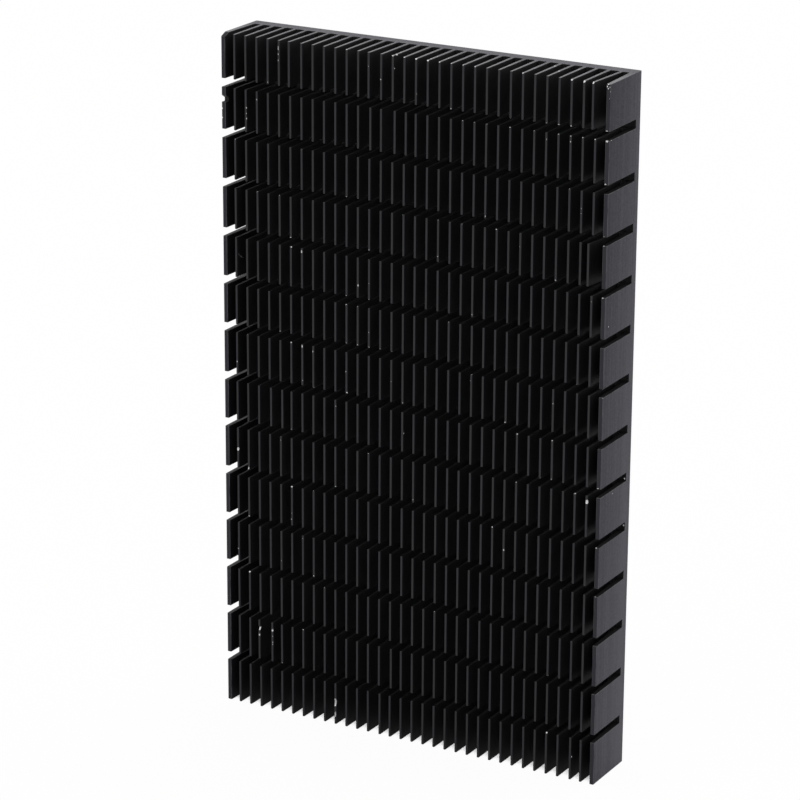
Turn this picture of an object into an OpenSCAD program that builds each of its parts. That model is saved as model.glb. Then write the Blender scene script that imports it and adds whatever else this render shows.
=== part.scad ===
/* [Extrusion] */
// Length of the sawn piece, along the fins
body_l = 150; // [60:0.5:300]
// Depth from the back face to the fin tips
body_d = 14; // [8:0.5:30]
// Thickness of the base plate at the floor of the gaps
base_t = 2.8; // [2.4:0.1:6]
// Radius along the two back edges of the base plate
back_edge_r = 0.3; // [0.2:0.1:1.4]

/* [Fins] */
// Number of fins across the width
fin_count = 34; // [6:1:60]
// Spacing of the fins, centre to centre
fin_pitch = 2.7; // [2.4:0.1:6]
// Thickness of a fin at its tip
fin_tip_t = 0.45; // [0.4:0.05:1]
// Thickness of a fin at its root
fin_root_t = 0.7; // [0.5:0.05:1.2]
// Thickness of the two end fins at the tip
end_fin_tip_t = 0.9; // [0.5:0.05:1.4]
// Thickness of the two end fins at the root
end_fin_root_t = 1.3; // [0.7:0.05:1.6]
// Radius where a fin meets the floor of a gap
root_r = 0.35; // [0.1:0.05:0.45]

/* [Cross cuts] */
// Width of a saw cut across the fins
cut_w = 1.85; // [1:0.05:4]
// Spacing of the saw cuts, centre to centre
cut_pitch = 10.75; // [6:0.05:30]
// Metal left between the floor of a saw cut and the back face
cut_floor_t = 2; // [1.5:0.1:2.3]

/* [Damage] */
// Depth of the bite out of the first fin, second row
bite_d = 1.1; // [0.4:0.1:2]
// Height of that bite
bite_h = 1.4; // [0.6:0.1:2.5]
// Distance from the top of the second row to the middle of the bite
bite_drop = 2.5; // [1.5:0.1:3.5]
// Depth of the corner knocked off the first fin, top row
corner_d = 1.6; // [0.4:0.1:3]
// Height of that corner
corner_h = 0.7; // [0.3:0.1:2]

/* [Hidden] */

// Fins knocked sideways: row from the top, fin from the left, shift of the tip to the right
bent_fins = [
    [1, 7, -0.3], [1, 14, -0.25], [1, 33, -0.7],
    [2, 14, 0.2], [2, 16, 0.5], [2, 17, 0.4],
    [4, 33, -0.95],
    [8, 5, 0.3], [8, 6, 0.4],
    [13, 4, -0.35], [13, 5, 0.25], [13, 16, 0.25],
    [14, 15, 0.2], [14, 32, 0.25],
];

// Upward drift of each saw cut from its even place, from the top cut down
cut_drift = [0, -0.1, 0, 0, 0.2, 0.5, 0.25, 0.5, 0.35, 0.35, 0.2, 0.1, -0.1];

// Straight steps in each root radius and in each back edge
root_steps = 2;
back_steps = 5;
// How far a cut runs past the surface that it opens
overrun = 1;

body_w = (fin_count - 1) * fin_pitch + end_fin_tip_t;
back_y = body_d / 2;
tip_y = -body_d / 2;
gap_floor_y = back_y - base_t;

// Saw cuts, counted from the top, are centred on the length but for their drift
cut_count = max(0, floor((body_l - cut_w) / cut_pitch));
function drift(k) = k <= len(cut_drift) ? cut_drift[k - 1] : 0;
function cut_z(k) = body_l / 2 + ((cut_count + 1) / 2 - k) * cut_pitch + drift(k);

// Rows of fin blocks, counted from the top
row_count = cut_count + 1;
function row_top(row) = row == 1 ? body_l : cut_z(row - 1) - cut_w / 2;
function row_foot(row) = row == row_count ? 0 : cut_z(row) + cut_w / 2;

// Fins, counted from the left; an end fin is flush outside and thickens on its inner side only
function fin_x(fin) = (fin - (fin_count + 1) / 2) * fin_pitch;
function is_end(fin) = fin == 1 || fin == fin_count;
function tip_t(fin) = is_end(fin) ? end_fin_tip_t : fin_tip_t;
function root_left(fin) = fin == fin_count ? body_w / 2 - end_fin_root_t : fin_x(fin) - fin_root_t / 2;
function root_right(fin) = fin == 1 ? end_fin_root_t - body_w / 2 : fin_x(fin) + fin_root_t / 2;

// Sideways shift of a fin's tip
function lean(row, fin) =
    let (shifts = [for (bent = bent_fins) if (bent[0] == row && bent[1] == fin) bent[2]])
    len(shifts) > 0 ? shifts[0] : 0;

// The two corners of a fin's tip, left and right
function tip_left(row, fin) = [fin_x(fin) - tip_t(fin) / 2 + lean(row, fin), tip_y];
function tip_right(row, fin) = [fin_x(fin) + tip_t(fin) / 2 + lean(row, fin), tip_y];

// Points of an arc about c, from angle a to angle b
function arc(c, r, a, b, steps) =
    [for (k = [0 : steps]) c + r * [cos(a + (b - a) * k / steps), sin(a + (b - a) * k / steps)]];

// Root radius between the flank from floor point p to tip point q and the floor, which runs along x from p
function root_arc(p, q, floor_dir) =
    let (
        flank = (q - p) / norm(q - p),
        corner = acos(flank[0] * floor_dir),
        bisector = flank + [floor_dir, 0],
        centre = p + bisector / norm(bisector) * root_r / sin(corner / 2),
        turn = 180 - corner,
        start = floor_dir > 0 ? 90 + turn : 90
    )
    arc(centre, root_r, start, start - turn, root_steps);

// Floor of the gap to the right of a fin, with both of its root radii
function gap_floor(row, fin) = concat(
    root_arc([root_right(fin), gap_floor_y], tip_right(row, fin), 1),
    root_arc([root_left(fin + 1), gap_floor_y], tip_left(row, fin + 1), -1)
);

// Rounded back of the section, from the right side to the left
function back_outline() = concat(
    arc([body_w / 2 - back_edge_r, back_y - back_edge_r], back_edge_r, 0, 90, back_steps),
    arc([back_edge_r - body_w / 2, back_y - back_edge_r], back_edge_r, 90, 180, back_steps)
);

// Section of one row: the base plate with its comb of fins
function comb(row) = [
    for (fin = [1 : fin_count])
        each concat(
            [tip_left(row, fin), tip_right(row, fin)],
            fin < fin_count ? gap_floor(row, fin) : []
        )
];

module row_block(row) {
    translate([0, 0, row_foot(row)])
        linear_extrude(height = row_top(row) - row_foot(row))
            polygon(concat(back_outline(), comb(row)));
}

// Metal that the saw cuts leave behind, over the whole length
module cut_floor_plate() {
    floor_y = back_y - cut_floor_t;
    linear_extrude(height = body_l)
        polygon(concat(back_outline(), [[-body_w / 2, floor_y], [body_w / 2, floor_y]]));
}

// Prism across the first fin, from an outline of depth behind the tips against height
module first_fin_cut(outline) {
    reach = overrun + fin_pitch / 2;
    translate([fin_x(1) + fin_pitch / 2, tip_y, 0])
        rotate([90, 0, -90])
            linear_extrude(height = reach + end_fin_tip_t / 2)
                polygon([for (p = outline) [-p[0], p[1]]]);
}

// Bite out of the tip: a slanted roof, a short wall and a square foot
module bite() {
    top_z = row_top(2) - bite_drop + bite_h / 2;
    foot_z = top_z - bite_h;
    first_fin_cut([
        [-overrun, top_z],
        [0, top_z],
        [bite_d, top_z - bite_h / 2],
        [bite_d, foot_z],
        [-overrun, foot_z],
    ]);
}

// Upper tip corner knocked off
module knocked_corner() {
    slope = corner_h / corner_d;
    first_fin_cut([
        [-overrun, body_l - corner_h - overrun * slope],
        [corner_d + overrun / slope, body_l + overrun],
        [-overrun, body_l + overrun],
    ]);
}

module finned_extrusion() {
    color([0.09, 0.09, 0.1])
        difference() {
            union() {
                cut_floor_plate();
                for (row = [1 : row_count])
                    row_block(row);
            }
            if (row_count > 1)
                bite();
            knocked_corner();
        }
}

finned_extrusion();
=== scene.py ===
"""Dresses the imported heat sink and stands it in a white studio.

The part is one black anodised aluminium extrusion: a thin base plate that carries a dense field of tapered
fins, sawn across into rows of blades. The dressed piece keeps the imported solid's form. Its edges are broken
as tumbled metal is, and small chips at the blades' corners show bright bare metal under the black skin.
"""

import logging
import math
import random
from dataclasses import dataclass, field
from enum import Enum
from typing import Any, Iterator, Union

import bmesh
import bpy
from mathutils import Euler, Matrix, Vector


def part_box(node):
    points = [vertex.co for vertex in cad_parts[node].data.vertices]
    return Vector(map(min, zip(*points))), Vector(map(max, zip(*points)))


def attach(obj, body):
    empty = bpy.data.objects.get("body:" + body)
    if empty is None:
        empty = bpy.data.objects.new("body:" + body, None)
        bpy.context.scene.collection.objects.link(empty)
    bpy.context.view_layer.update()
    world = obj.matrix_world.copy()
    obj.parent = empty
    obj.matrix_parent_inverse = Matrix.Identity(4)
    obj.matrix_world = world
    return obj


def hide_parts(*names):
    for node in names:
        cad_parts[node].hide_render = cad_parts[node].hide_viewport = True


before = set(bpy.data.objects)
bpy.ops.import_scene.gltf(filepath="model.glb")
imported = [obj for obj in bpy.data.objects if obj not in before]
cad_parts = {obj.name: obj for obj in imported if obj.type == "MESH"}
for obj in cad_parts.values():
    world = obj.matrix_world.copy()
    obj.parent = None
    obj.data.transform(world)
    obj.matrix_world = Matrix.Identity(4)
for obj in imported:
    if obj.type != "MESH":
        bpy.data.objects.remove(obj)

MM = 0.001
SOLID = "finned_extrusion"
BODY = "root"
LOG = logging.getLogger("heat_sink")

Colour = tuple[float, float, float]
PerAxis = tuple[float, float, float]
Span = tuple[float, float]
Feed = Union["Signal", float, int, Colour]


class Signal:
    """One shader socket with arithmetic: an expression on signals adds its Math nodes."""

    def __init__(self, bench: "Bench", socket: bpy.types.NodeSocket) -> None:
        """Wraps an output socket that belongs to the bench's node tree."""
        self.bench = bench
        self.socket = socket

    def _math(self, operation: str, first: Feed, second: Feed = 0.0) -> "Signal":
        """Adds one Math node and returns its result."""
        return self.bench.node("ShaderNodeMath", {"operation": operation}, {0: first, 1: second})

    def __add__(self, other: Feed) -> "Signal":
        """Sum of two values."""
        return self._math("ADD", self, other)

    __radd__ = __add__

    def __sub__(self, other: Feed) -> "Signal":
        """This value less another."""
        return self._math("SUBTRACT", self, other)

    def __rsub__(self, other: Feed) -> "Signal":
        """Another value less this one."""
        return self._math("SUBTRACT", other, self)

    def __mul__(self, other: Feed) -> "Signal":
        """Product of two values."""
        return self._math("MULTIPLY", self, other)

    __rmul__ = __mul__

    def __truediv__(self, other: Feed) -> "Signal":
        """This value over another."""
        return self._math("DIVIDE", self, other)

    def __rtruediv__(self, other: Feed) -> "Signal":
        """Another value over this one."""
        return self._math("DIVIDE", other, self)

    def root(self) -> "Signal":
        """Square root."""
        return self._math("SQRT", self)

    def least(self, other: Feed) -> "Signal":
        """The smaller of two values."""
        return self._math("MINIMUM", self, other)

    def size(self) -> "Signal":
        """The value without its sign."""
        return self._math("ABSOLUTE", self)

    def about_zero(self) -> "Signal":
        """The value less a half, so that a pattern from 0 to 1 lies about zero."""
        return self - 0.5

    def ramp(self, low: float, high: float) -> "Signal":
        """Rises smoothly from 0 at low to 1 at high, or falls where low is the greater."""
        return self.bench.node(
            "ShaderNodeMapRange",
            {"interpolation_type": "SMOOTHSTEP"},
            {"Value": self, "From Min": low, "From Max": high},
        )

    def also(self, output: str) -> "Signal":
        """Another output of the same node."""
        return Signal(self.bench, self.socket.node.outputs[output])


@dataclass(frozen=True)
class Pattern:
    """A soft uneven pattern.

    Attributes:
        per_metre: Features per metre along X, Y and Z.
        octaves: Octaves of finer features on top of the first.
    """

    per_metre: PerAxis
    octaves: float = 2.0


class Bench:
    """A node tree under construction."""

    def __init__(self, tree: bpy.types.NodeTree) -> None:
        """Takes over a node tree and empties it."""
        self.tree = tree
        tree.nodes.clear()

    def node(
        self,
        kind: str,
        settings: dict[str, Any] | None = None,
        sockets: dict[str | int, Feed] | None = None,
        output: str | int = 0,
    ) -> Signal:
        """Adds a node of any type.

        Args:
            kind: The node's type.
            settings: The node's own properties, set before its sockets are fed.
            sockets: Input name, identifier or number, with a value or a signal for each.
            output: Name, identifier or number of the output to return.

        Returns:
            The chosen output as a signal, or the first input of a node that has no output.
        """
        made = self.tree.nodes.new(kind)
        for name, value in (settings or {}).items():
            setattr(made, name, value)
        for key, value in (sockets or {}).items():
            self._feed(self._find(made.inputs, key), value)
        if not made.outputs:
            return Signal(self, made.inputs[0])
        return Signal(self, self._find(made.outputs, output))

    @staticmethod
    def _find(sockets: Any, key: str | int) -> bpy.types.NodeSocket:
        """Looks a socket up.

        Args:
            sockets: A node's inputs or outputs.
            key: The socket's number, identifier or name, tried in that order.

        Returns:
            The socket.
        """
        if isinstance(key, int):
            return sockets[key]
        return next((s for s in sockets if s.identifier == key), None) or sockets[key]

    def _feed(self, socket: bpy.types.NodeSocket, value: Feed) -> None:
        """Links a signal to a socket, or sets a plain value on it.

        Args:
            socket: The input to feed.
            value: The signal, number, vector or colour.
        """
        if isinstance(value, Signal):
            self.tree.links.new(value.socket, socket)
        elif isinstance(value, tuple) and socket.type == "RGBA":
            socket.default_value = (*value, 1.0)
        else:
            socket.default_value = value

    def position(self, stretch: PerAxis = (1.0, 1.0, 1.0)) -> Signal:
        """Object coordinates, multiplied axis by axis."""
        place = self.node("ShaderNodeTexCoord", output="Object")
        return self.node("ShaderNodeMapping", {}, {"Vector": place, "Scale": stretch})

    def noise(self, pattern: Pattern) -> Signal:
        """A soft pattern's value, from 0 to 1."""
        sockets = {"Vector": self.position(pattern.per_metre), "Scale": 1.0, "Detail": pattern.octaves}
        return self.node("ShaderNodeTexNoise", {"noise_dimensions": "3D"}, sockets)

    def mark(self, name: str) -> Signal:
        """A mark that the mesh carries on its faces."""
        return self.node("ShaderNodeAttribute", {"attribute_name": name}, output="Fac")

    def mix(self, share: Feed, first: Feed, second: Feed) -> Signal:
        """Blends two colours by a share from 0 to 1."""
        sockets = {"Factor_Float": share, "A_Color": first, "B_Color": second}
        return self.node("ShaderNodeMix", {"data_type": "RGBA"}, sockets, "Result_Color")

    def blend(self, share: Feed, first: Signal, second: Signal) -> Signal:
        """Blends two shaders by a share from 0 to 1."""
        return self.node("ShaderNodeMixShader", {}, {0: share, 1: first, 2: second})


class Place(Enum):
    """Where on a blade a chip sits."""

    CROWN = "front corner at the blade's upper end"
    FOOT = "front corner at the blade's lower end"
    EDGE = "along the front edge, measured down from the upper end"
    RIDGE = "along the upper end, measured back from the front edge"
    FLANK = "on the side, measured down from the upper end and back from the front edge"


@dataclass(frozen=True)
class Chip:
    """One chip in the black skin, down to bare metal.

    Attributes:
        row: Row of blades, counted from the top.
        fin: Fin, counted from the left as seen from the fin side.
        place: Where on the blade it sits.
        size: Width of the chip, in mm.
        along: Distance along the blade for EDGE, RIDGE and FLANK, in mm.
        length: How much longer than wide it is.
        side: Share of half the blade's thickness by which it sits off the middle, right positive.
        back: Distance back from the front edge for FLANK, in mm.
    """

    row: int
    fin: int
    place: Place
    size: float
    along: float = 0.0
    length: float = 1.0
    side: float = 0.0
    back: float = 0.0


@dataclass(frozen=True)
class Blade:
    """One blade of the fin field, by the edges of its tip, in metres."""

    left: float
    right: float
    top: float
    foot: float
    front: float

    def spot(self, chip: Chip) -> Vector:
        """Finds a chip's place on the blade.

        Args:
            chip: The chip.

        Returns:
            The middle of the chip.
        """
        x = (self.left + self.right + chip.side * (self.right - self.left)) / 2
        along = chip.along * MM
        if chip.place is Place.FOOT:
            return Vector((x, self.front, self.foot))
        if chip.place is Place.RIDGE:
            return Vector((x, self.front + along, self.top))
        return Vector((x, self.front + chip.back * MM, self.top - along))


@dataclass
class FinField:
    """All blades, by row from the top and fin from the left, read from the corners of the solid's tips.

    Attributes:
        solid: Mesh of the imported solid.
        digits: Decimals of a metre to which corners count as level.
        blades: The blades, by row and fin.
    """

    solid: bpy.types.Mesh
    digits: int = 6
    blades: dict[tuple[int, int], Blade] = field(init=False, default_factory=dict)

    def __post_init__(self) -> None:
        """Sorts the corners of the tips by height, and each height's corners across the part."""
        corners = {tuple(round(c, self.digits) for c in v.co) for v in self.solid.vertices}
        front = min(y for _, y, _ in corners)
        levels: dict[float, list[float]] = {}
        for x, y, z in sorted(corners):
            if y == front:
                levels.setdefault(z, []).append(x)
        widest = max(len(row) for row in levels.values())
        ends = sorted((z for z, row in levels.items() if len(row) > widest / 2), reverse=True)
        for row, (top, foot) in enumerate(zip(ends[0::2], ends[1::2]), 1):
            sides = levels[foot]
            for fin, (left, right) in enumerate(zip(sides[0::2], sides[1::2]), 1):
                self.blades[row, fin] = Blade(left, right, top, foot, front)


CHIPS: tuple[Chip, ...] = (
    Chip(1, 3, Place.RIDGE, 0.3, 3.3),
    Chip(1, 3, Place.RIDGE, 0.3, 6.9),
    Chip(1, 5, Place.EDGE, 0.15, 9.1),
    Chip(1, 6, Place.EDGE, 0.16, 1.6, 6.0, -0.4),
    Chip(1, 6, Place.EDGE, 0.12, 2.9, 4.0, -0.4),
    Chip(1, 6, Place.EDGE, 0.1, 4.2, 4.0, -0.4),
    Chip(1, 12, Place.CROWN, 0.3),
    Chip(1, 13, Place.RIDGE, 0.35, 0.9),
    Chip(1, 14, Place.EDGE, 0.16, 2.9),
    Chip(1, 15, Place.EDGE, 0.26, 5.3, side=-0.4),
    Chip(1, 16, Place.CROWN, 0.42),
    Chip(1, 16, Place.RIDGE, 0.75, 1.3, 1.5),
    Chip(1, 16, Place.RIDGE, 0.35, 3.4),
    Chip(1, 16, Place.FLANK, 0.25, 2.7, side=1.0, back=0.4),
    Chip(1, 17, Place.CROWN, 0.36),
    Chip(1, 18, Place.CROWN, 0.6),
    Chip(1, 18, Place.RIDGE, 0.35, 6.7),
    Chip(1, 18, Place.EDGE, 0.15, 7.3, side=0.9),
    Chip(1, 19, Place.CROWN, 0.6),
    Chip(1, 19, Place.RIDGE, 0.5, 1.3, 1.5),
    Chip(1, 19, Place.RIDGE, 0.35, 2.5),
    Chip(1, 19, Place.RIDGE, 0.35, 4.0),
    Chip(1, 20, Place.CROWN, 0.37),
    Chip(1, 20, Place.RIDGE, 0.3, 3.8),
    Chip(1, 21, Place.CROWN, 0.34),
    Chip(1, 21, Place.EDGE, 0.2, 9.3),
    Chip(1, 22, Place.CROWN, 0.26),
    Chip(1, 23, Place.CROWN, 0.4),
    Chip(1, 25, Place.RIDGE, 0.35, 4.3),
    Chip(1, 27, Place.CROWN, 0.46, side=-0.3),
    Chip(1, 28, Place.RIDGE, 0.4, 8.5, 1.5),
    Chip(1, 29, Place.RIDGE, 0.45, 5.0, 1.5),
    Chip(1, 29, Place.FOOT, 0.32),
    Chip(1, 30, Place.RIDGE, 0.4, 8.3),
    Chip(1, 30, Place.FOOT, 0.45),
    Chip(1, 31, Place.CROWN, 0.55),
    Chip(1, 31, Place.FOOT, 0.52),
    Chip(1, 32, Place.CROWN, 0.85),
    Chip(1, 33, Place.CROWN, 0.85, side=-0.5),
    Chip(1, 33, Place.RIDGE, 0.3, 1.4),
    Chip(1, 33, Place.RIDGE, 0.35, 8.0),
    Chip(1, 34, Place.CROWN, 0.4, side=-0.2),
    Chip(1, 34, Place.EDGE, 0.35, 0.5, 1.2, -0.8),
    Chip(1, 34, Place.EDGE, 0.35, 0.9, side=-0.2),
    Chip(1, 34, Place.EDGE, 0.22, 0.6, side=0.5),
    Chip(1, 34, Place.EDGE, 0.17, 1.5, side=0.8),
    Chip(1, 34, Place.EDGE, 0.13, 2.9, side=0.4),
    Chip(1, 34, Place.FOOT, 0.52, side=-0.3),
    Chip(2, 1, Place.EDGE, 0.35, 4.6, 1.5, -0.8),
    Chip(2, 1, Place.EDGE, 0.3, 6.6, 1.5, -0.8),
    Chip(2, 3, Place.EDGE, 0.29, 3.8, 1.3, 0.8),
    Chip(2, 3, Place.EDGE, 0.15, 5.0, 1.5, 0.8),
    Chip(2, 3, Place.EDGE, 0.26, 6.1, 1.6, 0.8),
    Chip(2, 4, Place.EDGE, 0.15, 1.7, 2.5),
    Chip(2, 22, Place.CROWN, 0.24),
    Chip(2, 23, Place.CROWN, 0.15),
    Chip(2, 26, Place.CROWN, 0.32, side=-0.3),
    Chip(2, 28, Place.CROWN, 0.2),
    Chip(2, 29, Place.EDGE, 0.13, 1.4, 2.5, 0.4),
    Chip(2, 30, Place.CROWN, 0.26),
    Chip(2, 31, Place.CROWN, 0.28),
    Chip(2, 31, Place.EDGE, 0.16, 1.2, 2.5),
    Chip(2, 32, Place.CROWN, 0.32),
    Chip(2, 33, Place.CROWN, 0.33),
    Chip(2, 34, Place.CROWN, 0.66, side=-0.2),
    Chip(2, 34, Place.RIDGE, 0.25, 0.9, side=0.9),
    Chip(2, 34, Place.EDGE, 0.43, 8.9, side=-0.4),
    Chip(3, 2, Place.CROWN, 0.17, side=0.5),
    Chip(3, 12, Place.FOOT, 0.35),
    Chip(3, 24, Place.EDGE, 0.16, 8.3, 2.0, 0.3),
    Chip(3, 31, Place.CROWN, 0.2),
    Chip(3, 32, Place.EDGE, 0.15, 3.7),
    Chip(3, 32, Place.EDGE, 0.14, 4.7),
    Chip(3, 34, Place.FOOT, 0.28, side=-0.4),
    Chip(4, 4, Place.CROWN, 0.21),
    Chip(4, 6, Place.CROWN, 0.18),
    Chip(4, 7, Place.FOOT, 0.55),
    Chip(4, 14, Place.EDGE, 0.22, 8.7),
    Chip(4, 20, Place.CROWN, 0.2),
    Chip(4, 20, Place.EDGE, 0.17, 7.7),
    Chip(4, 25, Place.CROWN, 0.34, side=-0.6),
    Chip(4, 27, Place.EDGE, 0.15, 2.9, side=-0.5),
    Chip(4, 30, Place.EDGE, 0.22, 8.7),
    Chip(4, 34, Place.CROWN, 0.25, side=-0.4),
    Chip(5, 2, Place.FLANK, 0.16, 3.8, side=1.0, back=0.7),
    Chip(5, 2, Place.FLANK, 0.16, 4.1, side=1.0, back=1.1),
    Chip(5, 2, Place.FLANK, 0.18, 4.4, side=1.0, back=1.5),
    Chip(5, 2, Place.FLANK, 0.18, 4.7, side=1.0, back=1.9),
    Chip(5, 2, Place.FLANK, 0.18, 5.0, side=1.0, back=2.3),
    Chip(5, 7, Place.CROWN, 0.4, side=0.5),
    Chip(5, 8, Place.EDGE, 0.27, 0.7, 3.0, -0.2),
    Chip(5, 12, Place.FOOT, 0.32),
    Chip(5, 13, Place.EDGE, 0.28, 6.0, 2.0, 0.5),
    Chip(5, 14, Place.EDGE, 0.15, 5.2),
    Chip(5, 14, Place.FOOT, 0.3),
    Chip(5, 23, Place.EDGE, 0.19, 8.1),
    Chip(5, 33, Place.EDGE, 0.15, 1.2),
    Chip(5, 34, Place.CROWN, 0.36, side=-0.4),
    Chip(5, 34, Place.FLANK, 0.3, 6.4, side=1.0, back=1.7),
    Chip(6, 6, Place.EDGE, 0.18, 8.4),
    Chip(6, 12, Place.CROWN, 0.35, side=-0.4),
    Chip(6, 12, Place.EDGE, 0.16, 8.4),
    Chip(6, 13, Place.CROWN, 0.19),
    Chip(6, 13, Place.EDGE, 0.19, 8.4),
    Chip(6, 14, Place.EDGE, 0.17, 5.3),
    Chip(6, 14, Place.FOOT, 0.45),
    Chip(6, 15, Place.EDGE, 0.14, 8.4),
    Chip(7, 2, Place.EDGE, 0.21, 6.5, 1.5),
    Chip(7, 7, Place.CROWN, 0.45),
    Chip(7, 8, Place.EDGE, 0.3, 0.5, 2.6, 0.1),
    Chip(7, 8, Place.EDGE, 0.18, 8.0, side=0.6),
    Chip(7, 9, Place.EDGE, 0.2, 1.2, 2.0, -0.3),
    Chip(7, 9, Place.FOOT, 0.3, side=0.6),
    Chip(7, 12, Place.EDGE, 0.22, 4.3, side=-0.5),
    Chip(7, 12, Place.EDGE, 0.29, 8.9, side=0.7),
    Chip(7, 16, Place.EDGE, 0.15, 4.7),
    Chip(7, 17, Place.EDGE, 0.16, 8.9, side=0.4),
    Chip(7, 23, Place.EDGE, 0.15, 1.3, side=-0.8),
    Chip(7, 26, Place.EDGE, 0.26, 9.0, side=-0.5),
    Chip(7, 30, Place.EDGE, 0.18, 3.1),
    Chip(8, 7, Place.EDGE, 0.14, 8.4),
    Chip(8, 11, Place.EDGE, 0.18, 1.4, side=0.6),
    Chip(8, 17, Place.FLANK, 0.32, 4.7, side=1.0, back=0.3),
    Chip(8, 27, Place.CROWN, 0.46),
    Chip(8, 30, Place.CROWN, 0.3),
    Chip(8, 30, Place.EDGE, 0.16, 8.4),
    Chip(8, 34, Place.FOOT, 0.66, side=-0.3),
    Chip(9, 2, Place.EDGE, 0.65, 4.8, 1.5, 0.1),
    Chip(9, 3, Place.EDGE, 0.6, 8.7, side=-0.5),
    Chip(9, 6, Place.EDGE, 0.15, 0.9),
    Chip(9, 11, Place.EDGE, 0.21, 8.9, side=0.5),
    Chip(9, 14, Place.CROWN, 0.2),
    Chip(9, 18, Place.EDGE, 0.16, 8.4),
    Chip(9, 27, Place.CROWN, 0.21),
    Chip(9, 32, Place.CROWN, 0.5, side=0.4),
    Chip(9, 33, Place.EDGE, 0.86, 1.3, 1.2, 0.4),
    Chip(9, 34, Place.FLANK, 0.24, 0.7, side=1.0, back=5.6),
    Chip(9, 34, Place.FLANK, 0.4, -0.45, side=0.1, back=12.0),
    Chip(9, 34, Place.FLANK, 0.4, 9.8, side=0.3, back=12.0),
    Chip(10, 3, Place.EDGE, 0.32, 8.8),
    Chip(10, 7, Place.CROWN, 0.56),
    Chip(10, 7, Place.EDGE, 0.15, 6.1),
    Chip(10, 7, Place.EDGE, 0.23, 7.5, 1.3, -0.6),
    Chip(10, 9, Place.CROWN, 0.18),
    Chip(10, 25, Place.CROWN, 0.36),
    Chip(10, 26, Place.EDGE, 0.28, 4.6, 1.5, 0.3),
    Chip(10, 34, Place.CROWN, 0.36, side=-0.5),
    Chip(11, 2, Place.EDGE, 0.3, 6.1, side=-0.6),
    Chip(11, 6, Place.EDGE, 0.14, 6.8),
    Chip(11, 8, Place.EDGE, 0.15, 0.6),
    Chip(11, 9, Place.EDGE, 0.25, 8.7),
    Chip(11, 34, Place.CROWN, 0.2, side=-0.3),
    Chip(12, 3, Place.CROWN, 0.77, side=-0.4),
    Chip(12, 20, Place.CROWN, 0.23),
    Chip(13, 4, Place.EDGE, 0.95, 2.0, 1.4, -0.4),
    Chip(13, 4, Place.EDGE, 0.36, 3.5, 1.4, 0.2),
    Chip(13, 5, Place.EDGE, 0.44, 1.8, 1.6, 0.3),
    Chip(13, 5, Place.EDGE, 0.16, 3.2, 2.0, 0.5),
    Chip(13, 5, Place.EDGE, 0.16, 4.6, 2.5, 0.5),
    Chip(13, 5, Place.EDGE, 0.18, 5.1, 1.5, 0.5),
    Chip(13, 6, Place.EDGE, 0.16, 8.9, side=0.5),
    Chip(13, 8, Place.CROWN, 0.29),
    Chip(14, 11, Place.EDGE, 0.75, 4.4, 3.0, -0.1),
    Chip(14, 11, Place.EDGE, 0.46, 7.2, 3.0, 0.0),
    Chip(14, 30, Place.CROWN, 0.6, side=0.8),
    Chip(14, 32, Place.FLANK, 0.4, 4.4, side=1.0, back=0.4),
)


@dataclass
class ChipStones:
    """Small rough stones, one for each chip, that knock the chips out of the blades' edges.

    Attributes:
        fins: The blades that the stones strike.
        chips: The chips that have a place of their own.
        stray_share: Share of the blades' front corners that get a tiny stray chip.
        stray_size: Least and greatest width of a stray chip, in mm.
        stray_sides: Where across the blade a stray chip may sit, as a chip's side.
        roughness: How far a stone's points stand in or out, as a share of its radius.
        seed: Start of the chance draws.
    """

    fins: FinField
    chips: tuple[Chip, ...]
    stray_share: float = 0.05
    stray_size: Span = (0.12, 0.18)
    stray_sides: tuple[float, ...] = (-0.8, 0.0, 0.8)
    roughness: float = 0.22
    seed: int = 41

    def strays(self, rng: random.Random) -> Iterator[Chip]:
        """Tiny chips scattered over the blades' corners.

        Args:
            rng: The source of chance.

        Yields:
            Chips at the upper and lower corners of some blades.
        """
        for row, fin in self.fins.blades:
            for place in (Place.CROWN, Place.FOOT):
                if rng.random() < self.stray_share:
                    size = rng.uniform(*self.stray_size)
                    yield Chip(row, fin, place, size, side=rng.choice(self.stray_sides))

    def stone(self, tool: bmesh.types.BMesh, chip: Chip, rng: random.Random) -> None:
        """Adds one stone, stretched along the edge that it strikes.

        Args:
            tool: The mesh that gathers the stones.
            chip: The chip that it makes.
            rng: The source of chance.
        """
        radius = chip.size * MM / 2
        turn = Euler([rng.uniform(0, math.tau) for _ in range(3)]).to_matrix().to_4x4()
        made = bmesh.ops.create_icosphere(tool, subdivisions=1, radius=radius, matrix=turn)["verts"]
        for vert in made:
            vert.co *= 1 + rng.uniform(-self.roughness, self.roughness)
        back = chip.length if chip.place is Place.RIDGE else 1.0
        down = chip.length if chip.place is Place.EDGE else 1.0
        bmesh.ops.scale(tool, vec=(1.0, back, down), verts=made)
        bmesh.ops.translate(tool, vec=self.fins.blades[chip.row, chip.fin].spot(chip), verts=made)

    def build(self, skin: bpy.types.Material) -> bpy.types.Object:
        """Makes all the stones as one object.

        Args:
            skin: Material that the struck faces take.

        Returns:
            The object that cuts the chips.
        """
        rng = random.Random(self.seed)
        tool = bmesh.new()
        for chip in (*self.chips, *self.strays(rng)):
            self.stone(tool, chip, rng)
        mesh = bpy.data.meshes.new("chip_stones")
        tool.to_mesh(mesh)
        tool.free()
        mesh.materials.append(skin)
        stones = bpy.data.objects.new("chip_stones", mesh)
        bpy.context.scene.collection.objects.link(stones)
        return stones


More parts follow.
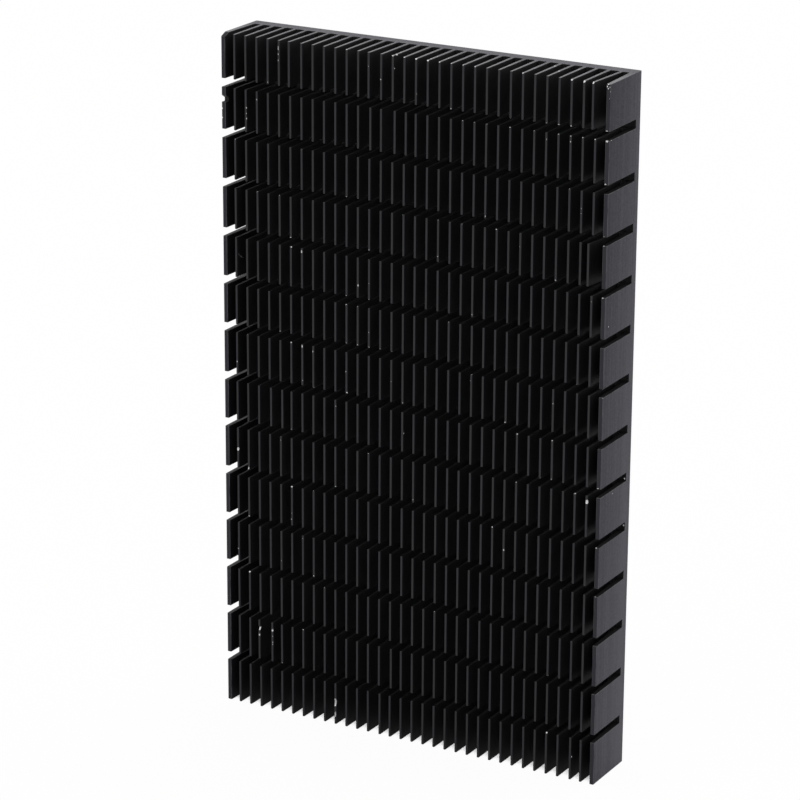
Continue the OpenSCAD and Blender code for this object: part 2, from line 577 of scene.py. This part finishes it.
@dataclass(frozen=True)
class Surface:
    """A place on the part as the black skin's nodes read it, in metres.

    Attributes:
        bench: The material's node tree.
        corner: Upper corner of the part's box, which is centred across and in depth.
        across: Place across the part, right positive.
        behind: Distance behind the fin tips.
        inward: Distance inside the outer side faces.
        below: Distance below the upper end.
    """

    bench: Bench
    corner: Vector
    across: Signal
    behind: Signal
    inward: Signal
    below: Signal

    @classmethod
    def read(cls, bench: Bench, corner: Vector) -> "Surface":
        """Reads the object coordinates.

        Args:
            bench: The material's node tree.
            corner: Upper corner of the part's box.

        Returns:
            The place.
        """
        place = bench.node("ShaderNodeSeparateXYZ", {}, {"Vector": bench.position()})
        across, depth, height = (place.also(axis) for axis in "XYZ")
        return cls(
            bench,
            corner,
            across,
            behind=depth + corner.y,
            inward=corner.x - across.size(),
            below=corner.z - height,
        )


@dataclass(frozen=True)
class SawLines:
    """Arcs that a round saw leaves as it is fed across the part.

    Attributes:
        radius: Radius of the saw.
        axis: The saw's axis, behind the fin tips.
        feed: How far the part moves between two arcs.
        octaves: Octaves of finer arcs.
    """

    radius: float = 45 * MM
    axis: float = -31 * MM
    feed: float = 0.28 * MM
    octaves: float = 1.5

    def height(self, surface: Surface) -> Signal:
        """Height of the arcs, from 0 to 1.

        Args:
            surface: Place on the part.

        Returns:
            The height.
        """
        off_axis = surface.behind - self.axis
        reach = (self.radius * self.radius - off_axis * off_axis).root()
        pass_number = (surface.across - reach) / self.feed
        sockets = {"W": pass_number, "Scale": 1.0, "Detail": self.octaves}
        return surface.bench.node("ShaderNodeTexNoise", {"noise_dimensions": "1D"}, sockets)


@dataclass(frozen=True)
class GapPaintedLight:
    """Painted light: a lighter colour deep in the gaps between the fins, which lifts the shade there.

    Attributes:
        dye: The lighter colour, where the painted light is strongest.
        deep: Distances behind the fin tips between which the painted light grows.
        floor: Distances behind the fin tips between which it stops again, under the gaps' floor.
        under_end: Distances below the upper end between which the painted light sets in.
        inside: Distances inside the outer side faces between which the painted light sets in.
    """

    dye: Colour = (0.0610, 0.0600, 0.0655)
    deep: Span = (0 * MM, 8 * MM)
    floor: Span = (13 * MM, 12.2 * MM)
    under_end: Span = (0.4 * MM, 4.5 * MM)
    inside: Span = (1 * MM, 8 * MM)

    def share(self, surface: Surface) -> Signal:
        """How strong the painted light is, from 0 to 1.

        Args:
            surface: Place on the part.

        Returns:
            The share of the painted lighter colour.
        """
        # Painted light: lifts the colour deep between the fins, away from the upper end and the outer sides.
        painted_lift = surface.behind.ramp(*self.deep) * surface.behind.ramp(*self.floor)
        return painted_lift * surface.below.ramp(*self.under_end) * surface.inward.ramp(*self.inside)


@dataclass(frozen=True)
class SideDyeAndPaintedLight:
    """Dye of the end fins' outer faces, with painted light that makes them lighter toward the back and the
    foot.

    Attributes:
        fresh: Colour where the dye is whole.
        faded_and_lit: Colour where the dye has gone, and where the painted light is strongest.
        start: Fade at the front edge of the upper end.
        back: Painted light that grows from the front edge to the back.
        down: Painted light that grows from the upper end to the lower.
        streak_share: How far streaks along the part show.
        mottle_share: How far the mottle shows.
        mottle: Fine spots.
    """

    fresh: Colour = (0.0050, 0.0042, 0.0145)
    faded_and_lit: Colour = (0.0900, 0.0860, 0.1040)
    start: float = 0.12
    back: float = 0.50
    down: float = 0.34
    streak_share: float = 1.0
    mottle_share: float = 0.7
    mottle: Pattern = Pattern((2500.0, 2500.0, 2500.0))

    def colour(self, surface: Surface, streak: Signal) -> Signal:
        """Colour of the faces, lighter toward the back and the foot by painted light.

        Args:
            surface: Place on the part.
            streak: Streaks along the part, about zero.

        Returns:
            The colour.
        """
        bench, corner = surface.bench, surface.corner
        # Painted light: the side faces turn lighter toward the back and toward the foot.
        fade_and_light = self.start + self.back * (surface.behind / (2 * corner.y))
        fade_and_light = fade_and_light + self.down * (surface.below / corner.z)
        mottle = bench.noise(self.mottle).about_zero()
        fade_and_light = fade_and_light + self.streak_share * streak + self.mottle_share * mottle
        return bench.mix(fade_and_light, self.fresh, self.faded_and_lit)


@dataclass(frozen=True)
class BlackAnodise:
    """Satin black anodised aluminium, with die lines along the part, saw lines on its cut ends and painted
    light in its colour.

    Attributes:
        name: Name of the material.
        dye: Colour of the whole dye.
        faded_dye: Colour of its paler patches.
        patch_streaks: How far streaks along the part break up the paler patches.
        patch_span: Pattern values between which a paler patch sets in.
        gaps: Painted light, a lighter colour deep between the fins.
        sides: Dye of the outer side faces, with painted light toward the back and the foot.
        rubbed_dye: Colour of the rubbed fin tips.
        end_tip_dye: Colour of the two end fins' tips.
        end_tip: Distance inside the side faces to which an end fin's tip reaches.
        end_painted_sheen: Painted sheen on the sawn upper end at the fin tips, far lighter than the dye.
        end_back: Colour of the sawn upper end at the back, where the painted sheen has gone.
        end_sheen_span: Distances behind the fin tips between which the painted sheen on the upper end grows.
        worn_edge: Colour of broken edges that are rubbed.
        rub_span: Pattern values between which a rub sets in.
        skin_depth: How deep a face's own colour reaches round its edges.
        refraction: Refractive index of the oxide.
        satin: Roughness of drawn faces.
        cut_satin: Roughness of sawn faces.
        end_satin: Roughness of the upper end.
        line_satin: How far die and saw lines vary the roughness.
        patch_satin: How far the paler patches vary it.
        streak_satin: How far the streaks vary it.
        saw: Lines of the saw.
        die_lines: Lines of the die.
        streaks: Streaks along the part.
        patches: Broad paler patches.
        rubs: Rubs on broken edges.
        grain: Grain of the etched metal.
        relief: Greatest height of the lines and the grain.
        relief_strength: How far the relief turns the light.
        line_height: The lines' share of the relief.
        grain_height: The grain's share of the relief.
    """

    name: str = "black_anodised_aluminium"
    dye: Colour = (0.0070, 0.0069, 0.0078)
    faded_dye: Colour = (0.0110, 0.0109, 0.0122)
    patch_streaks: float = 0.8
    patch_span: Span = (0.3, 0.75)
    gaps: GapPaintedLight = GapPaintedLight()
    sides: SideDyeAndPaintedLight = SideDyeAndPaintedLight()
    rubbed_dye: Colour = (0.0305, 0.0300, 0.0350)
    end_tip_dye: Colour = (0.0240, 0.0230, 0.0320)
    end_tip: float = 1.5 * MM
    end_painted_sheen: Colour = (0.1500, 0.1485, 0.1620)
    end_back: Colour = (0.0070, 0.0060, 0.0220)
    end_sheen_span: Span = (14 * MM, 3 * MM)
    worn_edge: Colour = (0.13, 0.13, 0.135)
    rub_span: Span = (0.3, 0.6)
    skin_depth: float = 0.1 * MM
    refraction: float = 1.38
    satin: float = 0.52
    cut_satin: float = 0.58
    end_satin: float = 0.42
    line_satin: float = 0.12
    patch_satin: float = 0.1
    streak_satin: float = 0.2
    saw: SawLines = SawLines()
    die_lines: Pattern = Pattern((6500.0, 6500.0, 22.0))
    streaks: Pattern = Pattern((1500.0, 1500.0, 12.0))
    patches: Pattern = Pattern((130.0, 130.0, 60.0), octaves=3.0)
    rubs: Pattern = Pattern((500.0, 500.0, 300.0))
    grain: Pattern = Pattern((9000.0, 9000.0, 9000.0), octaves=1.0)
    relief: float = 0.012 * MM
    relief_strength: float = 0.5
    line_height: float = 0.7
    grain_height: float = 0.3

    def colour(self, surface: Surface, end: Signal, patch: Signal, streak: Signal) -> Signal:
        """Colour of the skin, with painted light deep in the gaps, on the upper end and on the side faces.

        Args:
            surface: Place on the part.
            end: 1 on the upper end, 0 elsewhere.
            patch: Paler patches, from 0 to 1.
            streak: Streaks along the part, about zero.

        Returns:
            The colour.
        """
        bench = surface.bench
        pale = (patch + self.patch_streaks * streak).ramp(*self.patch_span)
        colour = bench.mix(pale, self.dye, self.faded_dye)
        # Painted light: a lighter colour deep in the gaps between the fins, lifting their shade.
        colour = bench.mix(self.gaps.share(surface), colour, self.gaps.dye)
        end_tip = surface.inward.ramp(self.end_tip, self.end_tip - self.skin_depth)
        tip_dye = bench.mix(end_tip, self.rubbed_dye, self.end_tip_dye)
        colour = bench.mix(surface.behind.ramp(self.skin_depth, 0.0), colour, tip_dye)
        # Painted sheen: the upper end is far lighter toward the fin tips, standing in for the light it
        # mirrors.
        end_dye_and_sheen = bench.mix(surface.behind.ramp(*self.end_sheen_span), self.end_back, self.end_painted_sheen)
        colour = bench.mix(end, colour, end_dye_and_sheen)
        # Side faces: dye with streaks and mottle, plus painted light toward the back and the foot.
        side_dye_and_light = self.sides.colour(surface, streak)
        colour = bench.mix(surface.inward.ramp(self.skin_depth, 0.0), colour, side_dye_and_light)
        rub = bench.noise(self.rubs).ramp(*self.rub_span)
        return bench.mix(bench.mark("worn") * rub, colour, self.worn_edge)

    def build(self, corner: Vector) -> bpy.types.Material:
        """Makes the material.

        Args:
            corner: Upper corner of the part's box, which is centred across and in depth.

        Returns:
            The finished material.
        """
        material = bpy.data.materials.new(self.name)
        material.use_nodes = True
        bench = Bench(material.node_tree)
        surface = Surface.read(bench, corner)
        end = surface.below.ramp(self.skin_depth, 0.0)
        sawn = bench.mark("sawn")
        patch = bench.noise(self.patches)
        streak = bench.noise(self.streaks).about_zero()
        lines = bench.noise(self.die_lines) * (1 - sawn) + self.saw.height(surface) * sawn
        satin = self.satin + (self.cut_satin - self.satin) * sawn + (self.end_satin - self.cut_satin) * end
        satin = satin + self.line_satin * lines.about_zero() + self.patch_satin * patch.about_zero()
        height = self.line_height * lines + self.grain_height * bench.noise(self.grain)
        relief = {"Strength": self.relief_strength, "Distance": self.relief, "Height": height}
        skin = bench.node(
            "ShaderNodeBsdfPrincipled",
            {},
            {
                "Base Color": self.colour(surface, end, patch, streak),
                "Roughness": satin + self.streak_satin * streak,
                "IOR": self.refraction,
                "Normal": bench.node("ShaderNodeBump", {}, relief),
            },
        )
        bench.node("ShaderNodeOutputMaterial", {}, {"Surface": skin})
        return material


@dataclass(frozen=True)
class BareAluminium:
    """Bright bare metal where the black skin is chipped away.

    Attributes:
        name: Name of the material.
        bright: Colour of the torn metal.
        dull: Colour where it is bruised.
        dull_span: Pattern values between which a bruise sets in.
        satin: Roughness of the metal.
        tear_satin: How far the tears vary it.
        tears: Tears of the metal.
    """

    name: str = "bare_aluminium"
    bright: Colour = (0.95, 0.95, 0.945)
    dull: Colour = (0.80, 0.80, 0.805)
    dull_span: Span = (0.35, 0.7)
    satin: float = 0.26
    tear_satin: float = 0.2
    tears: Pattern = Pattern((6000.0, 6000.0, 3000.0))

    def build(self) -> bpy.types.Material:
        """Makes the material.

        Returns:
            The finished material.
        """
        material = bpy.data.materials.new(self.name)
        material.use_nodes = True
        bench = Bench(material.node_tree)
        tear = bench.noise(self.tears)
        metal = bench.node(
            "ShaderNodeBsdfPrincipled",
            {},
            {
                "Base Color": bench.mix(tear.ramp(*self.dull_span), self.bright, self.dull),
                "Roughness": self.satin + self.tear_satin * tear.about_zero(),
                "Metallic": 1.0,
            },
        )
        bench.node("ShaderNodeOutputMaterial", {}, {"Surface": metal})
        return material


@dataclass
class Extrusion:
    """The dressed heat sink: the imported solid's form with broken edges, chips and its finishes.

    Attributes:
        fins: The solid's blades.
        solid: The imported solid.
        corner: Upper corner of the part's box, which is centred across and in depth.
        edge_break: Width of a broken edge.
        break_steps: Steps that round a broken edge.
        sharp_from: Least angle of an edge that is broken.
        weld: Distance within which the solid's loose points are joined.
        flat_within: Angle within which triangles make one face.
        outer_edges: Distance inside the part's outline where edges are rubbed most.
        outer_wear: Wear of the edges there.
        inner_wear: Wear of the other edges.
        sawn_from: How squarely a sawn face looks up or down.
        skin: Finish of the piece.
        bare: Finish of its chips.
    """

    fins: FinField
    solid: bpy.types.Object
    corner: Vector
    edge_break: float = 0.06 * MM
    break_steps: int = 2
    sharp_from: float = math.radians(40)
    weld: float = 0.001 * MM
    flat_within: float = math.radians(0.5)
    outer_edges: float = 1.0 * MM
    outer_wear: float = 1.0
    inner_wear: float = 0.15
    sawn_from: float = 0.9
    skin: BlackAnodise = BlackAnodise()
    bare: BareAluminium = BareAluminium()

    def wear(self, face: bmesh.types.BMFace) -> float:
        """Finds how far the skin of a broken edge is rubbed: most at the end fins and the upper end.

        Args:
            face: A face of the broken edge.

        Returns:
            The wear, from 0 to 1, with none at the back.
        """
        middle = face.calc_center_median()
        if self.corner.y - middle.y < self.outer_edges:
            return 0.0
        inside = min(self.corner.x - abs(middle.x), self.corner.z - middle.z)
        return self.outer_wear if inside < self.outer_edges else self.inner_wear

    def break_edges(self) -> bpy.types.Mesh:
        """Copies the solid, joins its triangles into whole faces and breaks its outer edges.

        Returns:
            The mesh with broken edges, each marked with its wear.
        """
        body = bmesh.new()
        body.from_mesh(self.solid.data)
        bmesh.ops.remove_doubles(body, verts=body.verts, dist=self.weld)
        bmesh.ops.dissolve_limit(
            body, angle_limit=self.flat_within, verts=body.verts, edges=body.edges
        )
        sharp = [e for e in body.edges if e.is_convex and e.calc_face_angle(0.0) > self.sharp_from]
        worn = body.faces.layers.float.new("worn")
        broken = bmesh.ops.bevel(
            body,
            geom=sharp,
            offset=self.edge_break,
            offset_type="OFFSET",
            affect="EDGES",
            segments=self.break_steps,
            profile=0.5,
            material=-1,
            clamp_overlap=True,
        )
        for face in broken["faces"]:
            face[worn] = self.wear(face)
        mesh = bpy.data.meshes.new("anodised_extrusion")
        body.to_mesh(mesh)
        body.free()
        return mesh

    def knock_chips(self, piece: bpy.types.Object) -> None:
        """Cuts the chips out of the piece, so that their faces show bare metal.

        Args:
            piece: The extrusion with broken edges.
        """
        stones = ChipStones(self.fins, CHIPS).build(self.bare.build())
        cut = piece.modifiers.new("chips", "BOOLEAN")
        cut.operation = "DIFFERENCE"
        cut.solver = "MANIFOLD"
        cut.material_mode = "TRANSFER"
        cut.object = stones
        graph = bpy.context.evaluated_depsgraph_get()
        chipped = bpy.data.meshes.new_from_object(piece.evaluated_get(graph))
        piece.modifiers.remove(cut)
        piece.data = chipped
        bpy.data.objects.remove(stones)

    def mark_sawn_faces(self, mesh: bpy.types.Mesh) -> None:
        """Marks the faces that a saw has cut, for the finish to read.

        Args:
            mesh: The chipped mesh.
        """
        body = bmesh.new()
        body.from_mesh(mesh)
        sawn = body.faces.layers.float.new("sawn")
        for face in body.faces:
            face[sawn] = float(abs(face.normal.z) > self.sawn_from)
        body.to_mesh(mesh)
        body.free()

    def build(self) -> bpy.types.Object:
        """Makes the piece and sets it in the frame.

        Returns:
            The dressed heat sink.
        """
        mesh = self.break_edges()
        mesh.materials.append(self.skin.build(self.corner))
        piece = bpy.data.objects.new("anodised_extrusion", mesh)
        bpy.context.scene.collection.objects.link(piece)
        self.knock_chips(piece)
        self.mark_sawn_faces(piece.data)
        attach(piece, BODY)
        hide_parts(SOLID)
        return piece


@dataclass
class Studio:
    """White floor, even white light and the camera at the photograph's angle.

    Attributes:
        aim: Point that the camera looks at.
        azimuth: The camera's turn to the right of the fin side.
        elevation: Its height above the level, as an angle.
        roll: Its turn about its own line of sight.
        distance: Its distance from the point that it looks at.
        lens: Its focal length, in mm.
        sensor: Width of its sensor, in mm.
        floor_size: Side of the floor.
        floor_drop: How far the floor lies below the part.
        floor_colour: The floor's colour as it lights the part.
        painted_contact_shadow: Dark colour painted on the floor as a contact shadow between the blades' feet.
        crevice_reach: How near the part has to be for the painted contact shadow.
        crevice_open: Open shares of the sky between which the painted contact shadow ends.
        seen_share: How far the floor glows white where the camera sees it.
        mirrored_share: How far it glows where the part mirrors it.
        white: Plain white.
        light_ahead: Strength of the light from the fin side.
        light_behind: Strength of the light from the back.
    """

    aim: Vector = field(default_factory=lambda: Vector((-4.42, -2.5, 75.22)) * MM)
    azimuth: float = math.radians(29.35)
    elevation: float = math.radians(18.58)
    roll: float = math.radians(0.34)
    distance: float = 729.5 * MM
    lens: float = 156.35
    sensor: float = 36.0
    floor_size: float = 8.0
    floor_drop: float = 0.05 * MM
    floor_colour: Colour = (0.62, 0.62, 0.62)
    painted_contact_shadow: Colour = (0.08, 0.08, 0.085)
    crevice_reach: float = 6 * MM
    crevice_open: Span = (0.16, 0.26)
    seen_share: float = 0.96
    mirrored_share: float = 0.12
    white: Colour = (1.0, 1.0, 1.0)
    light_ahead: float = 0.7
    light_behind: float = 1.1

    def paint_floor(self) -> bpy.types.Material:
        """Makes a paper that looks white, keeps the part's soft shadow and has a dark shadow painted between
        its feet.

        Returns:
            The floor's material.
        """
        material = bpy.data.materials.new("studio_white")
        material.use_nodes = True
        bench = Bench(material.node_tree)
        seen = bench.node("ShaderNodeLightPath", output="Is Camera Ray")
        mirrored = (seen.also("Is Glossy Ray") + seen.also("Is Transmission Ray")).least(1.0)
        # Painted shadow: near the part the floor takes a dark colour and loses its white glow.
        nearby = bench.node("ShaderNodeAmbientOcclusion", {}, {"Distance": self.crevice_reach}, "AO")
        clear = nearby.ramp(*self.crevice_open)
        colour = bench.mix(seen, self.floor_colour, self.white)
        colour = bench.mix(clear, self.painted_contact_shadow, colour)
        matt = {"Base Color": colour, "Roughness": 1.0, "Specular IOR Level": 0.0}
        paper = bench.node("ShaderNodeBsdfPrincipled", {}, matt)
        glow = bench.node("ShaderNodeEmission", {}, {"Color": self.white, "Strength": 1.0})
        share = seen * clear * self.seen_share + mirrored * self.mirrored_share
        bench.node("ShaderNodeOutputMaterial", {}, {"Surface": bench.blend(share, paper, glow)})
        return material

    def build_floor(self) -> bpy.types.Object:
        """Lays the floor just under the part.

        Returns:
            The floor.
        """
        sheet = bmesh.new()
        bmesh.ops.create_grid(sheet, x_segments=1, y_segments=1, size=self.floor_size / 2)
        bmesh.ops.translate(sheet, vec=(0, 0, -self.floor_drop), verts=sheet.verts)
        mesh = bpy.data.meshes.new("studio_floor")
        sheet.to_mesh(mesh)
        sheet.free()
        mesh.materials.append(self.paint_floor())
        floor = bpy.data.objects.new("studio_floor", mesh)
        bpy.context.scene.collection.objects.link(floor)
        return floor

    def build_sky(self) -> None:
        """Surrounds the part with soft white light, somewhat stronger behind the part than ahead of it."""
        world = bpy.data.worlds.new("studio_sky")
        world.use_nodes = True
        bench = Bench(world.node_tree)
        direction = bench.node("ShaderNodeTexCoord", output="Generated")
        behind = (bench.node("ShaderNodeSeparateXYZ", {}, {"Vector": direction}, "Y") + 1) / 2
        ahead_light, behind_light = (
            bench.node("ShaderNodeBackground", {}, {"Color": self.white, "Strength": strength})
            for strength in (self.light_ahead, self.light_behind)
        )
        light = bench.blend(behind, ahead_light, behind_light)
        bench.node("ShaderNodeOutputWorld", {}, {"Surface": light})
        bpy.context.scene.world = world

    def build_camera(self) -> bpy.types.Object:
        """Sets the camera where the photograph was taken from.

        Returns:
            The camera.
        """
        level = math.cos(self.elevation)
        back = Vector(
            (
                math.sin(self.azimuth) * level,
                -math.cos(self.azimuth) * level,
                math.sin(self.elevation),
            )
        )
        data = bpy.data.cameras.new("photo_camera")
        data.lens = self.lens
        data.sensor_width = self.sensor
        camera = bpy.data.objects.new("photo_camera", data)
        bpy.context.scene.collection.objects.link(camera)
        turn = (-back).to_track_quat("-Z", "Y").to_matrix().to_4x4()
        tilt = Matrix.Rotation(self.roll, 4, "Z")
        camera.matrix_world = Matrix.Translation(self.aim + back * self.distance) @ turn @ tilt
        bpy.context.scene.camera = camera
        return camera

    def build(self) -> None:
        """Makes the floor, the light and the camera."""
        bpy.context.scene.view_settings.view_transform = "Standard"
        LOG.info("stage: %s", self.build_floor().name)
        self.build_sky()
        LOG.info("camera: %s", self.build_camera().name)


def main() -> None:
    """Builds the dressed part and the studio."""
    logging.basicConfig(level=logging.INFO, format="%(name)s: %(message)s")
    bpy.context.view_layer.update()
    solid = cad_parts[SOLID]
    fins = FinField(solid.data)
    LOG.info("blades: %d", len(fins.blades))
    piece = Extrusion(fins, solid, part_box(SOLID)[1]).build()
    LOG.info("piece: %s, %d faces", piece.name, len(piece.data.polygons))
    Studio().build()


if __name__ == "__main__":
    main()
